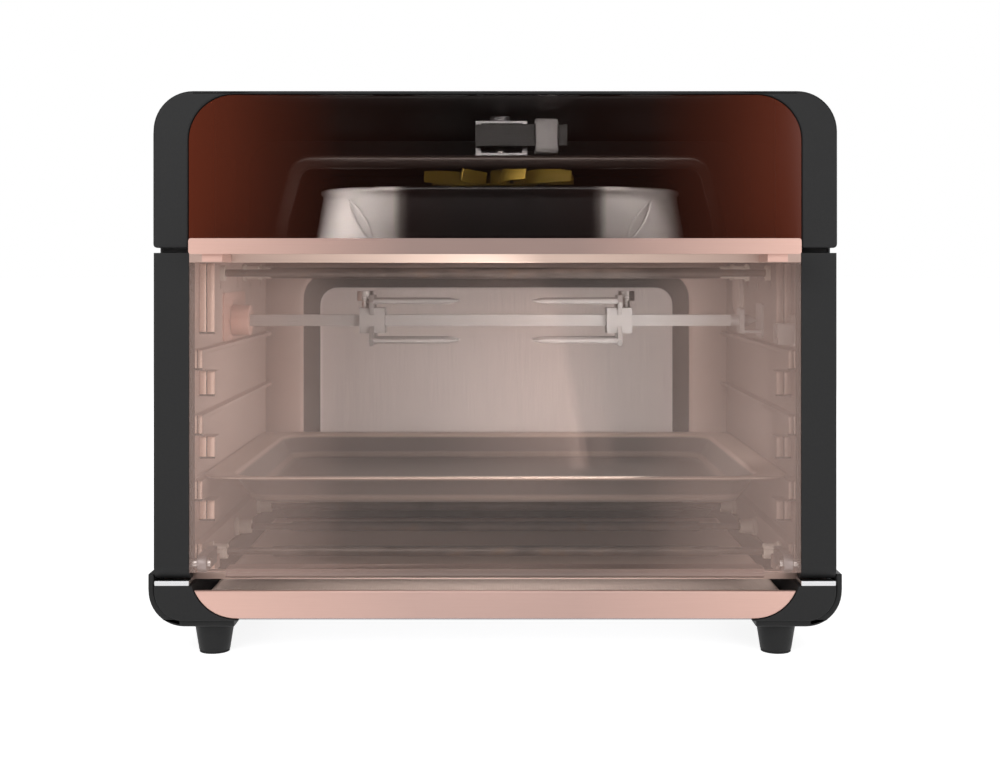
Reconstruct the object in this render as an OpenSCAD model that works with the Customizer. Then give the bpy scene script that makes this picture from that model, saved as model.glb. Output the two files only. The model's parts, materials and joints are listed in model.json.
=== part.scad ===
// Countertop rotisserie oven: drop-down glass door, see-through fascia over the fan,
// four-level cavity, spit drive, tray on the third level and a pull-out crumb tray.
// Millimetres. X is width, -Y is the front, Z is up, origin under the middle of the box.

/* [Case] */
// Width of the case across its side panels
body_w = 420; // [416:1:424]
// Height of the whole oven from the table
oven_h = 350; // [348:1:356]
// Y of the front face of the door and the fascia
front_y = -160; // [-162:1:-160]
// Y of the outer face of the rear panel
rear_y = 180; // [179:1:182]
// Radius of the two upper corners of the case
case_r = 24.5; // [18:0.5:30]
// Sheet thickness of the case
sheet = 1.2; // [0.8:0.1:1.4]
// Depth of the bezel and the door
front_t = 18; // [18:0.5:18.5]
// Width of the black columns beside the door glass
column_w = 22; // [21:0.5:23]

/* [Door] */
// Z of the top edge of the door
door_top = 250.5; // [249:0.5:251]
// Thickness of the outer and inner door glass
glass_t = 3.2; // [2.5:0.1:3.5]
// Radius of the hinge pins
hinge_r = 3; // [2:0.5:3.5]
// Running clearance round each pin and shaft
fit = 0.05; // [0.03:0.01:0.08]
// Length of the handle bar
handle_w = 363; // [330:1:370]
// Distance from the door face to the front of the handle bar
handle_out = 32; // [28:1:32]

/* [Cavity] */
// Inner width of the cavity
cavity_w = 380; // [378:1:380]
// Z of the underside of the cavity roof
cavity_top = 248; // [246:0.5:248]
// Y of the cavity's rear wall
cavity_back = 150; // [146:1:152]
// Z of the spit's axis
spit_z = 204; // [198:1:206]
// Y of the spit's axis
spit_y = -8; // [-14:1:-4]

/* [Fan] */
// X of the fan and motor axis
fan_x = 3; // [0:0.5:4]
// Y of the fan and motor axis
fan_y = -40; // [-42:1:-38]
// Radius of the cooling fan in the duct hood
cooling_fan_r = 55; // [48:1:58]
// Number of blades on each fan
blades = 8; // [5:1:12]

/* [Base] */
// Height of each foot
foot_h = 20; // [16:1:20]
// Radius of the lower corners of the crumb tray front
tray_r = 28; // [26:1:28]

/* [Hidden] */
$fn = 64;

half_w = body_w / 2;
wrap_y = front_y + front_t + 2;
window_w = half_w - column_w;
bezel_z = 253.6;
fascia_gap = 0.3;
fascia_t = 4;
window_top = oven_h - 2.5;
window_r = 28;
base_z = foot_h + 4.6;
base_top = 46;
base_r = 18.4;
trim_top = base_top + 3;
wall_t = 1;
cavity_x = cavity_w / 2;
frame_y = wrap_y + 1;
roof_z = cavity_top + wall_t;

// Door hinge axis: the bottom of the door is a half round about it.
hinge_edge = front_t / 2;
hinge_y = front_y + hinge_edge;
hinge_z = trim_top + 0.4 + hinge_edge;
door_w = body_w - 1;
rail_h = 6;
door_inner_y = front_y + front_t;
ear_x = 178;
ear_t = 6;
ear_r = 5.3;

// Tops of the four shelf ledges, and the heights of the guide ribs over them.
ledges = [189.5, 148.5, 107.3, 67.8];
ledge_out = 6;
ledge_lug_h = 12.5;
ledge_lug_len = 19;
guides = [[199, 45], [159, 16], [119, 14], [79, 13], [base_top, 9]];
guide_out = 10;
guide_len = 18;
guide_y = frame_y + ledge_lug_len + 1;

tray_level = ledges[2] + 0.1;
crumb_z = base_z + 1.4;
crumb_top = base_top - 3;
crumb_w = window_w - 1;

hood_front = front_y + 48;
hood_back = 62;
hood_top = 313.2;
dome_front = front_y + 55;
dome_back = 44;
dome_top = 294.8;
shaft_r = 3;
motor_z = hood_top + 5.3;
rotor_r = 11;

socket_r = 11;
socket_shaft_r = 6;
spit_s = 8;
spit_end_r = 4;

// A block between two corners.
module block(low, high) {
    translate(low)
    cube(high - low);
}

// Turns an outline drawn in X and Z into a slab from y0 to y1.
module front_slab(y0, y1) {
    translate([0, y1, 0])
    rotate([90, 0, 0])
    linear_extrude(y1 - y0)
    children();
}

// Turns an outline drawn in Y and Z into a slab from x0 to x1.
module side_slab(x0, x1) {
    translate([x0, 0, 0])
    rotate([90, 0, 90])
    linear_extrude(x1 - x0)
    children();
}

// The children and their mirror image on the other side of the oven.
module both_sides() {
    children();
    mirror([1, 0, 0])
    children();
}

// Rod along X from x0 to x1.
module x_rod(x0, x1, r) {
    translate([x0, 0, 0])
    rotate([0, 90, 0])
    cylinder(h = x1 - x0, r = r);
}

// Rod along Y from y0 to y1.
module y_rod(y0, y1, r) {
    translate([0, y1, 0])
    rotate([90, 0, 0])
    cylinder(h = y1 - y0, r = r);
}

// Rectangle from low to high with all four corners rounded.
module rounded(low, high, r) {
    union() {
        translate([low[0] + r, low[1]])
        square([high[0] - low[0] - 2 * r, high[1] - low[1]]);
        translate([low[0], low[1] + r])
        square([high[0] - low[0], high[1] - low[1] - 2 * r]);
        for (x = [low[0] + r, high[0] - r], y = [low[1] + r, high[1] - r])
            translate([x, y])
            circle(r);
    }
}

// Outline w wide on each side of the middle, from z0 to z1, with only its top corners rounded.
module top_rounded(w, z0, z1, r) {
    union() {
        translate([-w, z0])
        square([2 * w, z1 - z0 - r]);
        translate([r - w, z0])
        square([2 * (w - r), z1 - z0]);
        for (x = [r - w, w - r])
            translate([x, z1 - r])
            circle(r);
    }
}

// The same outline upside down: only its bottom corners are rounded.
module bottom_rounded(w, z0, z1, r) {
    translate([0, z0 + z1])
    mirror([0, 1])
    top_rounded(w, z0, z1, r);
}

// Outline with leaning sides, half-width w0 at z0 and w1 at z1, and rounded top corners.
module arch(w0, w1, z0, z1, r) {
    lean = (w0 - w1) / (z1 - z0);
    long = sqrt(1 + lean * lean);
    cx = w1 + lean * r - r * long;
    cz = z1 - r;
    tx = cx + r / long;
    tz = cz + r * lean / long;
    union() {
        polygon([[-w0, z0], [w0, z0], [tx, tz], [cx, cz], [cx, z1], [-cx, z1], [-cx, cz], [-tx, tz]]);
        for (x = [-cx, cx])
            translate([x, cz])
            circle(r);
    }
}

// ---- Case ----

vent_len = 46;
vent_h = 3.2;
vent_pitch = 8;
vent_rows = 7;
side_vent_y = [62, 116];
side_vent_z = 188;
rear_vent_x = [-150, -70, 24, 104];
rear_vent_z = 262;
low_vent_x = [-150, 104];
low_vent_z = 70;
low_vent_rows = 5;
gland_x = -150;
gland_z = 48;
gland_neck_r = 8;

// One column of slots, drawn in the plane of a panel, upwards from the origin.
module slots(count, length) {
    for (i = [0 : count - 1])
        translate([0, i * vent_pitch])
        rounded([0, 0], [length, vent_h], vent_h / 2 - 0.01);
}

module outer_wrap() {
    color([0.13, 0.13, 0.13])
    difference() {
        front_slab(wrap_y, rear_y - sheet)
        difference() {
            top_rounded(half_w, trim_top, oven_h, case_r);
            top_rounded(half_w - sheet, trim_top - 1, oven_h - sheet, case_r - sheet);
        }
        // Air slots through both side panels, beside the rear of the cavity.
        for (y = side_vent_y)
            side_slab(-half_w - 1, half_w + 1)
            translate([y, side_vent_z])
            slots(vent_rows, vent_len);
    }
}

module front_bezel() {
    color([0.16, 0.16, 0.16])
    union() {
        front_slab(front_y, wrap_y)
        difference() {
            top_rounded(half_w, bezel_z, oven_h, case_r);
            top_rounded(window_w + fascia_gap, bezel_z - 1, window_top + fascia_gap, window_r);
        }
        // Bar across the bottom, behind the fascia glass.
        block([-window_w - 1, front_y + 8, bezel_z], [window_w + 1, wrap_y, bezel_z + 2.4]);
    }
}

module fascia_glass() {
    color([0.2, 0.08, 0.05, 0.6])
    front_slab(front_y + 0.4, front_y + 0.4 + fascia_t)
    top_rounded(window_w, bezel_z + 0.4, window_top, window_r);
}

module rear_panel() {
    color([0.12, 0.12, 0.12])
    front_slab(rear_y - sheet, rear_y)
    difference() {
        union() {
            top_rounded(half_w, base_z + base_r, oven_h, case_r);
            bottom_rounded(half_w, base_z, base_z + 2 * base_r, base_r);
        }
        for (x = rear_vent_x)
            translate([x, rear_vent_z])
            slots(vent_rows, vent_len);
        for (x = low_vent_x)
            translate([x, low_vent_z])
            slots(low_vent_rows, vent_len);
        translate([gland_x, gland_z])
        circle(gland_neck_r);
    }
}

spacer_x = 150;
spacer_z = 232;
spacer_r = 11;
spacer_tip_r = 8;
spacer_len = 9;
spacer_out = 12;

// Stand-offs that keep the oven clear of a wall.
module rear_spacers() {
    color([0.1, 0.1, 0.1])
    for (x = [-spacer_x, spacer_x])
        translate([x, 0, spacer_z])
        union() {
            y_rod(rear_y, rear_y + spacer_len, spacer_r);
            y_rod(rear_y + spacer_len, rear_y + spacer_out, spacer_tip_r);
        }
}

bottom_w = 158;
bottom_t = 0.8;
slot_half = 12;

module bottom_pan() {
    color([0.3, 0.3, 0.31])
    difference() {
        block([-bottom_w, front_y + 4, base_z], [bottom_w, rear_y - sheet, base_z + bottom_t]);
        for (x = [-120 : 24 : 120], y = [60, 110])
            translate([x, y, base_z])
            linear_extrude(4, center = true)
            rounded([-2, -slot_half], [2, slot_half], 1.99);
    }
}

// Side rails of the base. Their hollow inner corner guides the crumb tray.
module base_rails() {
    color([0.12, 0.12, 0.12])
    front_slab(front_y, rear_y - sheet)
    difference() {
        bottom_rounded(half_w - 0.6, base_z, base_top + 10, base_r);
        translate([-half_w, base_top])
        square([body_w, 20]);
        bottom_rounded(window_w - 0.5, crumb_z - 0.5, base_top + 20, tray_r + 0.4);
        translate([-bottom_w, base_z - 1])
        square([2 * bottom_w, 30]);
    }
}

module trim_strips() {
    color([0.85, 0.85, 0.85])
    both_sides()
    union() {
        block([cavity_x + 2, wrap_y, base_top], [half_w - 0.6, rear_y - sheet, trim_top]);
        block([window_w, front_y + 0.5, base_top], [half_w - 0.6, wrap_y, trim_top]);
    }
}

leg_x = 214;
leg_t = 3.8;
leg_len = 44;
leg_top = trim_top + 3.5;
leg_inner = 161;
foot_x = 177;
foot_low_r = 9.7;
foot_high_r = 12.7;
pad_t = 1.5;
pad_r = 9.4;
front_leg_y = front_y + 4;
rear_leg_y = rear_y - 54;

// One leg: a lip up the side, round the lower corner and under the base.
module corner_leg(y) {
    translate([0, y, 0])
    front_slab(0, leg_len)
    intersection() {
        difference() {
            bottom_rounded(leg_x, foot_h, leg_top, base_r + leg_t);
            bottom_rounded(leg_x - leg_t, base_z, leg_top + 1, base_r);
        }
        translate([leg_inner, 0])
        square([leg_x - leg_inner, leg_top]);
    }
}

module corner_legs() {
    color([0.14, 0.14, 0.14])
    both_sides() {
        corner_leg(front_leg_y);
        corner_leg(rear_leg_y);
    }
}

module at_feet() {
    for (x = [-foot_x, foot_x], y = [front_leg_y + leg_len / 2, rear_leg_y + leg_len / 2])
        translate([x, y, 0])
        children();
}

module feet() {
    color([0.16, 0.16, 0.16])
    at_feet()
    translate([0, 0, pad_t])
    cylinder(h = foot_h - pad_t, r1 = foot_low_r, r2 = foot_high_r);
}

module foot_pads() {
    color([0.08, 0.08, 0.08])
    at_feet()
    cylinder(h = pad_t, r = pad_r);
}

// ---- Cavity liner ----

liner_vent = [6, 3.4, 8];
liner_vent_z = 231;
ledge_t = 3;
ledge_stop = 8;
through = 5;

// A side wall: sheet with four shelf ledges, rack lugs, tip guides and air slots.
module liner_wall(vents) {
    inner = -cavity_x;
    ledge = inner + ledge_out;
    lug_end = frame_y + ledge_lug_len;
    union() {
        difference() {
            block([inner - wall_t, frame_y, base_top], [inner, cavity_back, cavity_top]);
            for (y = vents)
                translate([inner, y, liner_vent_z])
                cube(liner_vent, center = true);
            children();
        }
        for (z = ledges) {
            block([inner, frame_y, z - ledge_lug_h], [ledge, lug_end, z]);
            block([inner, lug_end, z - ledge_t], [ledge, cavity_back - ledge_stop, z]);
        }
        for (g = guides)
            block([inner, guide_y, g[0]], [inner + guide_out, guide_y + guide_len, g[0] + g[1]]);
    }
}

lamp_y = 84;
lamp_z = 222;
lamp_r = 18;
lamp_neck_r = lamp_r - 3;
probe_y = 66;
probe_z = 200;
probe_r = 3.4;
probe_neck_r = 4;
drive_hole_r = 9;

module liner_left_wall() {
    color([0.55, 0.44, 0.41])
    liner_wall([-46, 20, 76, 122])
    union() {
        translate([0, spit_y, spit_z])
        x_rod(-cavity_x - through, -cavity_x + through, drive_hole_r);
        translate([0, probe_y, probe_z])
        x_rod(-cavity_x - through, -cavity_x + through, probe_neck_r);
    }
}

module liner_right_wall() {
    color([0.48, 0.39, 0.36])
    mirror([1, 0, 0])
    liner_wall([-88, -45, 6, 48])
    translate([0, lamp_y, lamp_z])
    x_rod(-cavity_x - through, -cavity_x + through, lamp_neck_r);
}

recess_w = 161;
recess_low = 52;
recess_high = 240;
recess_depth = 12;
recess_r = 20;

// Outline of the recess in the rear wall, moved in by inset.
module recess(inset) {
    rounded(
        [inset - recess_w, recess_low + inset],
        [recess_w - inset, recess_high - inset],
        recess_r - inset
    );
}

// Rear wall with one large pressed recess.
module liner_back_wall() {
    color([0.6, 0.54, 0.52])
    union() {
        front_slab(cavity_back, cavity_back + wall_t)
        difference() {
            translate([-cavity_x - wall_t, base_top])
            square([cavity_w + 2 * wall_t, cavity_top + wall_t - base_top]);
            recess(0);
        }
        front_slab(cavity_back, cavity_back + recess_depth)
        difference() {
            recess(0);
            recess(wall_t);
        }
        front_slab(cavity_back + recess_depth - wall_t, cavity_back + recess_depth)
        recess(0);
    }
}

fan_hole_r = 58;

module liner_roof() {
    color([0.5, 0.42, 0.4])
    difference() {
        block([-cavity_x - wall_t, frame_y, cavity_top], [cavity_x + wall_t, cavity_back, roof_z]);
        translate([fan_x, fan_y, 0])
        cylinder(h = oven_h, r = fan_hole_r);
    }
}

frame_inset = 2.5;
sill_deep = 6;
sill_h = 5;

// Flange round the mouth of the cavity, with the sill below it.
module front_frame() {
    color([0.85, 0.68, 0.62])
    union() {
        front_slab(frame_y - 1, frame_y)
        difference() {
            translate([frame_inset - half_w, trim_top])
            square([body_w - 2 * frame_inset, door_top - trim_top]);
            translate([-cavity_x, trim_top - 1])
            square([cavity_w, cavity_top - trim_top + 1]);
        }
        block([-cavity_x, frame_y, base_top], [cavity_x, frame_y + sill_deep, base_top + sill_h]);
    }
}

blanket_low = 60;
blanket_high = 172;

// Glass-fibre blankets between the cavity walls and the case.
module side_insulation() {
    color([0.85, 0.82, 0.7])
    both_sides()
    block(
        [cavity_x + wall_t + 0.4, frame_y + 4, blanket_low],
        [half_w - sheet - 3, cavity_back - 2, blanket_high]
    );
}

// ---- Fan, dome and hood ----

module at_fan() {
    translate([fan_x, fan_y, 0])
    children();
}

guard_t = 1.6;
guard_r = 64;
guard_wire = 2.4;

// Flat guard of rings and spokes under the roof opening.
module fan_guard() {
    color([0.5, 0.47, 0.45])
    at_fan()
    translate([0, 0, cavity_top - guard_t])
    linear_extrude(guard_t)
    union() {
        for (r = [16 : 12 : guard_r])
            difference() {
                circle(r);
                circle(r - guard_wire);
            }
        for (a = [0 : 30 : 150])
            rotate(a)
            square([2 * (guard_r - 2), 2], center = true);
    }
}

dome_foot = 130;
dome_crown = 123;
dome_r = 8;
hood_foot = 148;
hood_crown = 137.5;
hood_r = 14;
lip_len = 2;
lip_out = 0.6;

// Inner steel dome over the convection fan. Its front and sides lean inwards.
module air_dome() {
    color([0.55, 0.52, 0.5])
    translate([fan_x, 0, 0])
    difference() {
        front_slab(dome_front, dome_back)
        arch(dome_foot, dome_crown, roof_z, dome_top, dome_r);
        front_slab(dome_front + sheet, dome_back - sheet)
        arch(dome_foot - sheet, dome_crown - sheet, roof_z - 1, dome_top - sheet, dome_r - 1);
        translate([0, fan_y, roof_z])
        cylinder(h = oven_h - roof_z, r = shaft_r + 1);
    }
}

// Duct hood, open at the front, with a flange round its mouth.
module air_hood() {
    color([0.2, 0.17, 0.16])
    translate([fan_x, 0, 0])
    difference() {
        union() {
            front_slab(hood_front, hood_back)
            arch(hood_foot, hood_crown, roof_z, hood_top, hood_r);
            front_slab(hood_front, hood_front + lip_len)
            arch(hood_foot + lip_out, hood_crown + lip_out, roof_z, hood_top + lip_out, hood_r + lip_out);
        }
        front_slab(hood_front - 1, hood_back - sheet)
        arch(hood_foot - sheet, hood_crown - sheet, roof_z - 1, hood_top - sheet, hood_r - 1);
        translate([0, fan_y, roof_z])
        cylinder(h = oven_h - roof_z, r = shaft_r + 1);
    }
}

hood_screw_x = 159;

module hood_screws() {
    color([0.6, 0.6, 0.6])
    for (x = [fan_x - hood_screw_x, fan_x + hood_screw_x], y = [hood_front + 14, hood_back - 20])
        translate([x, y, roof_z])
        union() {
            cylinder(h = 2, r = 4.5);
            cylinder(h = 4.4, r = 2.6);
        }
}

bracket_t = 2;
boss_x = [-45, 27];
boss_r = 6;
nut_r = 4;
nut_h = 1.2;

// Bracket that carries the motor on two bosses over the hood.
module motor_bracket() {
    color([0.35, 0.35, 0.35])
    at_fan()
    difference() {
        union() {
            block([boss_x[0] - 7, -15, motor_z - bracket_t], [boss_x[1] + 7, 15, motor_z]);
            for (x = boss_x) {
                translate([x, 0, hood_top])
                cylinder(h = motor_z - bracket_t - hood_top, r = boss_r);
                translate([x, 0, motor_z])
                cylinder(h = nut_h, r = nut_r);
            }
        }
        cylinder(h = oven_h, r = shaft_r + 5);
    }
}

stack_low = motor_z + 6;
stack_high = stack_low + 15;
frame_half = 8;
frame_left = -17;
frame_right = 19;
post_w = 4;
cap_low = stack_high + 1.5;
cap_high = stack_high + 3.5;
cup_h = 3.5;
cup_r = 7;

// Lower and upper bearing frames of the fan motor.
module motor_end_frames() {
    color([0.6, 0.6, 0.6])
    at_fan()
    difference() {
        union() {
            block([frame_left, -frame_half, motor_z], [frame_right, frame_half, motor_z + 2.5]);
            block([frame_left, -frame_half, cap_low], [frame_right, frame_half, cap_high]);
            for (x = [frame_left, frame_right - post_w]) {
                block([x, -frame_half, motor_z + 2.5], [x + post_w, frame_half, stack_low]);
                block([x, -frame_half, stack_high], [x + post_w, frame_half, cap_low]);
            }
            translate([0, 0, cap_high])
            cylinder(h = cup_h, r = cup_r);
        }
        cylinder(h = oven_h, r = shaft_r + fit);
    }
}

stator_half = 20;
stator_right = 46;
limb_x = [24, 40];
limb_half = 10;
coil_half = 16;
coil_out = 4.6;
air_gap = 0.5;

// Laminated stack with a bore for the rotor and a limb for the coil.
module motor_stator() {
    color([0.27, 0.27, 0.27])
    at_fan()
    difference() {
        block([frame_left, -stator_half, stack_low], [stator_right, stator_half, stack_high]);
        cylinder(h = oven_h, r = rotor_r + air_gap);
        // Slots either side of the limb that carries the coil.
        for (y = [-stator_half, limb_half])
            block([limb_x[0], y, stack_low - 1], [limb_x[1], y + stator_half - limb_half, stack_high + 1]);
    }
}

module motor_coil() {
    color([0.3, 0.3, 0.3])
    at_fan()
    difference() {
        side_slab(limb_x[0], limb_x[1])
        rounded([-coil_half, stack_low - coil_out], [coil_half, stack_high + coil_out], 4);
        block([limb_x[0] - 1, -limb_half, stack_low], [limb_x[1] + 1, limb_half, stack_high]);
    }
}

rotor_over = 0.8;

module motor_rotor() {
    color([0.5, 0.5, 0.5])
    at_fan()
    translate([0, 0, stack_low - rotor_over])
    difference() {
        cylinder(h = stack_high - stack_low + 2 * rotor_over, r = rotor_r);
        translate([0, 0, -1])
        cylinder(h = oven_h, r = shaft_r);
    }
}

shaft_low = 258;

module fan_shaft() {
    color([0.75, 0.75, 0.75])
    at_fan()
    translate([0, 0, shaft_low])
    cylinder(h = stack_high + 6 - shaft_low, r = shaft_r);
}

blade_t = 1.2;
blade_tilt = 24;
fan_hub_r = 7;

// Fan wheel from low to high: a hub, a disc and tilted straight blades that stand on it.
module fan_wheel(r, disc_r, low, high) {
    difference() {
        union() {
            translate([0, 0, low])
            cylinder(h = high - low, r = fan_hub_r);
            translate([0, 0, low])
            cylinder(h = blade_t, r = disc_r);
            for (i = [0 : blades - 1])
                rotate(i * 360 / blades)
                translate([fan_hub_r - 1, 0, low])
                rotate([blade_tilt, 0, 0])
                translate([0, -blade_t / 2, 0])
                cube([r - fan_hub_r + 1, blade_t, high - low]);
        }
        translate([0, 0, low - 1])
        cylinder(h = high, r = shaft_r);
    }
}

module cooling_fan() {
    color([0.42, 0.34, 0.12])
    at_fan()
    fan_wheel(cooling_fan_r, 22, dome_top + 3.6, hood_top - 4.2);
}

convection_fan_r = 52;
convection_low = 262;

module convection_fan() {
    color([0.6, 0.6, 0.6])
    at_fan()
    fan_wheel(convection_fan_r, 30, convection_low, convection_low + 20);
}

// ---- Heaters ----

top_heater_y = [-92, 42, 112];
bottom_heater_y = [-84, 10, 104];
top_heater_z = 238;
bottom_heater_z = 53;
heater_half = 148;

heater_r = 3.6;
cold_end_r = 2.4;

// One straight element along X: a thick heated middle and two thin cold ends.
module heater() {
    union() {
        x_rod(-heater_half, heater_half, heater_r);
        x_rod(-cavity_x, -heater_half, cold_end_r);
        x_rod(heater_half, cavity_x, cold_end_r);
    }
}

module top_heaters() {
    color([0.35, 0.3, 0.28])
    for (y = top_heater_y)
        translate([0, y, top_heater_z])
        heater();
}

module bottom_heaters() {
    color([0.35, 0.3, 0.28])
    for (y = bottom_heater_y)
        translate([0, y, bottom_heater_z])
        heater();
}

insulator_len = 12;
insulator_r = 5;
collar_len = 3;
collar_r = 6.5;

// Flanged ceramic bushes on both ends of the elements at height z.
module heater_ends(z, places) {
    for (y = places)
        translate([0, y, z])
        both_sides()
        difference() {
            union() {
                x_rod(cavity_x - insulator_len, cavity_x, insulator_r);
                x_rod(cavity_x - collar_len, cavity_x, collar_r);
            }
            x_rod(cavity_x - insulator_len - 1, cavity_x + 1, cold_end_r);
        }
}

module heater_insulators() {
    color([0.9, 0.87, 0.82])
    union() {
        heater_ends(top_heater_z, top_heater_y);
        heater_ends(bottom_heater_z, bottom_heater_y);
    }
}

// ---- Rotisserie drive and spit ----

motor_can_r = 23.5;
nose_r = 8.5;
nose_len = 1.5;

// Flat round gearmotor between the cavity wall and the case.
module gearmotor() {
    color([0.7, 0.7, 0.68])
    translate([0, spit_y, spit_z])
    difference() {
        union() {
            x_rod(-half_w + sheet + 2, -cavity_x - wall_t - nose_len, motor_can_r);
            x_rod(-cavity_x - wall_t - nose_len, -cavity_x - wall_t, nose_r);
        }
        x_rod(-cavity_x - 9, -cavity_x + through, socket_shaft_r + fit);
    }
}

plate_t = 1.2;
plate_x = -cavity_x + plate_t;
air_hole_r = 1.7;

// Drive plate screwed to the inside of the left wall, with a ring of air holes.
module drive_plate() {
    color([0.62, 0.5, 0.47])
    difference() {
        side_slab(-cavity_x, plate_x)
        rounded([spit_y - 32, spit_z - 14], [spit_y + 52, spit_z + 20], 4);
        translate([0, spit_y, spit_z]) {
            x_rod(-cavity_x - through, -cavity_x + through, socket_shaft_r + fit);
            for (a = [0 : 45 : 315])
                rotate([a, 0, 0])
                translate([0, socket_r + 2.8, 0])
                x_rod(-cavity_x - through, -cavity_x + through, air_hole_r);
        }
    }
}

// Turning socket with a square hole for the end of the spit.
module drive_socket() {
    color([0.85, 0.72, 0.68])
    translate([0, spit_y, spit_z])
    difference() {
        union() {
            x_rod(-cavity_x - 8.5, plate_x + 0.5, socket_shaft_r);
            x_rod(plate_x + 0.5, plate_x + 13, socket_r);
        }
        block([plate_x + 2, -spit_s / 2, -spit_s / 2], [plate_x + 14, spit_s / 2, spit_s / 2]);
    }
}

bracket_x = cavity_x - 16;
bracket_half = 9;
hook_y = frame_y + 10;
point_x = cavity_x - 9;

// Square spit with a round journal and a point at its free end.
module spit_rod() {
    color([0.8, 0.8, 0.8])
    translate([0, spit_y, spit_z])
    union() {
        block([plate_x + 2, -spit_s / 2, -spit_s / 2], [bracket_x - 6, spit_s / 2, spit_s / 2]);
        x_rod(bracket_x - 6, point_x, spit_end_r);
        translate([point_x, 0, 0])
        rotate([0, 90, 0])
        cylinder(h = 6, r1 = spit_end_r, r2 = 0.6);
    }
}

fork_x = 88;
fork_half = 9;
fork_reach = 22;
bar_half = [1.5, 3.5];
tine_len = 62;
tine_point = 8;
tine_r = 2;

// Two forks: a clamp block on the spit, a crossbar and four tines each.
module spit_forks() {
    color([0.78, 0.78, 0.78])
    for (s = [0, 1])
        mirror([s, 0, 0])
        translate([-fork_x, spit_y, spit_z])
        difference() {
            union() {
                cube(2 * fork_half, center = true);
                for (a = [45, 135])
                    rotate([a, 0, 0])
                    block([-bar_half[0], -fork_reach, -bar_half[1]], [bar_half[0], fork_reach, bar_half[1]]);
                for (a = [45 : 90 : 315])
                    rotate([a, 0, 0])
                    translate([0, fork_reach - tine_r - 0.2, 0])
                    union() {
                        x_rod(0, tine_len - tine_point, tine_r);
                        translate([tine_len - tine_point, 0, 0])
                        rotate([0, 90, 0])
                        cylinder(h = tine_point, r1 = tine_r, r2 = 0.3);
                    }
            }
            block([-10, -spit_s / 2, -spit_s / 2], [10, spit_s / 2, spit_s / 2]);
        }
}

module fork_screws() {
    color([0.7, 0.7, 0.7])
    both_sides()
    translate([fork_x + 5.5, spit_y, spit_z + fork_half])
    union() {
        cylinder(h = 7, r = 2.5);
        translate([0, 0, 5])
        cylinder(h = 7, r = 6);
    }
}

// Bearing bracket for the spit's free end, and a parking hook nearer the door.
module spit_brackets() {
    color([0.3, 0.27, 0.26])
    union() {
        difference() {
            union() {
                side_slab(cavity_x - 1.5, cavity_x)
                rounded([spit_y - 12, spit_z - 12], [spit_y + 12, spit_z + 12], 2);
                side_slab(bracket_x, bracket_x + 3)
                rounded(
                    [spit_y - bracket_half, spit_z - bracket_half],
                    [spit_y + bracket_half, spit_z + bracket_half],
                    2
                );
                block(
                    [bracket_x + 1, spit_y - bracket_half, spit_z - bracket_half],
                    [cavity_x - 1, spit_y + bracket_half, spit_z - bracket_half + 2]
                );
            }
            translate([0, spit_y, spit_z])
            x_rod(bracket_x - 2, bracket_x + 6, spit_end_r + fit);
        }
        translate([0, hook_y, spit_z - 3])
        difference() {
            union() {
                side_slab(cavity_x - 1.5, cavity_x)
                rounded([-10, -10], [10, 10], 2);
                block([cavity_x - 12, -8, -8], [cavity_x - 1, 8, 5]);
            }
            block([cavity_x - 13, -4.5, -4], [cavity_x - 2.5, 4.5, 6]);
        }
    }
}

module temperature_probe() {
    color([0.75, 0.72, 0.7])
    translate([0, probe_y, probe_z])
    union() {
        x_rod(-cavity_x - 8, -cavity_x, probe_neck_r);
        x_rod(-cavity_x, -cavity_x + 2, 7);
        x_rod(-cavity_x + 2, -cavity_x + 20, probe_r);
    }
}

// ---- Oven lamp ----

bulb_foot = half_w - sheet - 3;

module lamp_holder() {
    color([0.7, 0.68, 0.62])
    translate([0, lamp_y, lamp_z])
    difference() {
        x_rod(cavity_x + wall_t, half_w - sheet - 1, lamp_r + 2);
        x_rod(cavity_x, bulb_foot, lamp_neck_r);
    }
}

module lamp_bulb() {
    color([1, 0.9, 0.7])
    translate([0, lamp_y, lamp_z])
    union() {
        x_rod(bulb_foot - 3, bulb_foot, 6);
        x_rod(bulb_foot - 12, bulb_foot - 3, 4.5);
    }
}

module lamp_lens() {
    color([0.8, 0.75, 0.7, 0.5])
    translate([0, lamp_y, lamp_z])
    union() {
        x_rod(cavity_x - 3, cavity_x, lamp_r);
        x_rod(cavity_x, cavity_x + wall_t, lamp_neck_r);
    }
}

// ---- Controls and power ----

panel_y = front_y + fascia_t + 1.4;

// Touch control board, behind the right end of the fascia.
module control_board() {
    color([0.1, 0.3, 0.15])
    union() {
        block([158, panel_y, 262], [186, panel_y + 1.6, 318]);
        for (z = [270 : 12 : 306])
            block([166, panel_y + 1.6, z], [178, panel_y + 4, z + 6]);
    }
}

module display_module() {
    color([0.08, 0.08, 0.1])
    union() {
        block([-186, panel_y, 268], [-160, panel_y + 6, 310]);
        block([-184, panel_y + 6, 274], [-164, panel_y + 8, 304]);
    }
}

board_z = roof_z + 8;
board_top = board_z + 1.6;

// Power board on four posts over the rear of the cavity, with its transformer,
// heat sink and two capacitors.
module power_board() {
    color([0.12, 0.32, 0.16])
    union() {
        block([60, 78, board_z], [172, 146, board_top]);
        for (x = [66, 166], y = [84, 140])
            translate([x, y, roof_z])
            cylinder(h = board_z - roof_z, r = 3);
        block([70, 92, board_top], [96, 118, board_top + 20]);
        block([104, 92, board_top], [120, 132, board_top + 16]);
        for (y = [96, 118])
            translate([140, y, board_top])
            cylinder(h = 22, r = 8);
    }
}

cutout_x = -96;
cutout_y = 104;

// Over-temperature cut-out with two tab terminals.
module thermal_cutout() {
    color([0.8, 0.78, 0.7])
    translate([cutout_x, cutout_y, roof_z])
    union() {
        cylinder(h = 1.5, r = 12);
        cylinder(h = 10, r = 8);
        for (x = [-4, 3])
            block([x, -2.5, 9], [x + 1, 2.5, 17]);
    }
}

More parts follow.
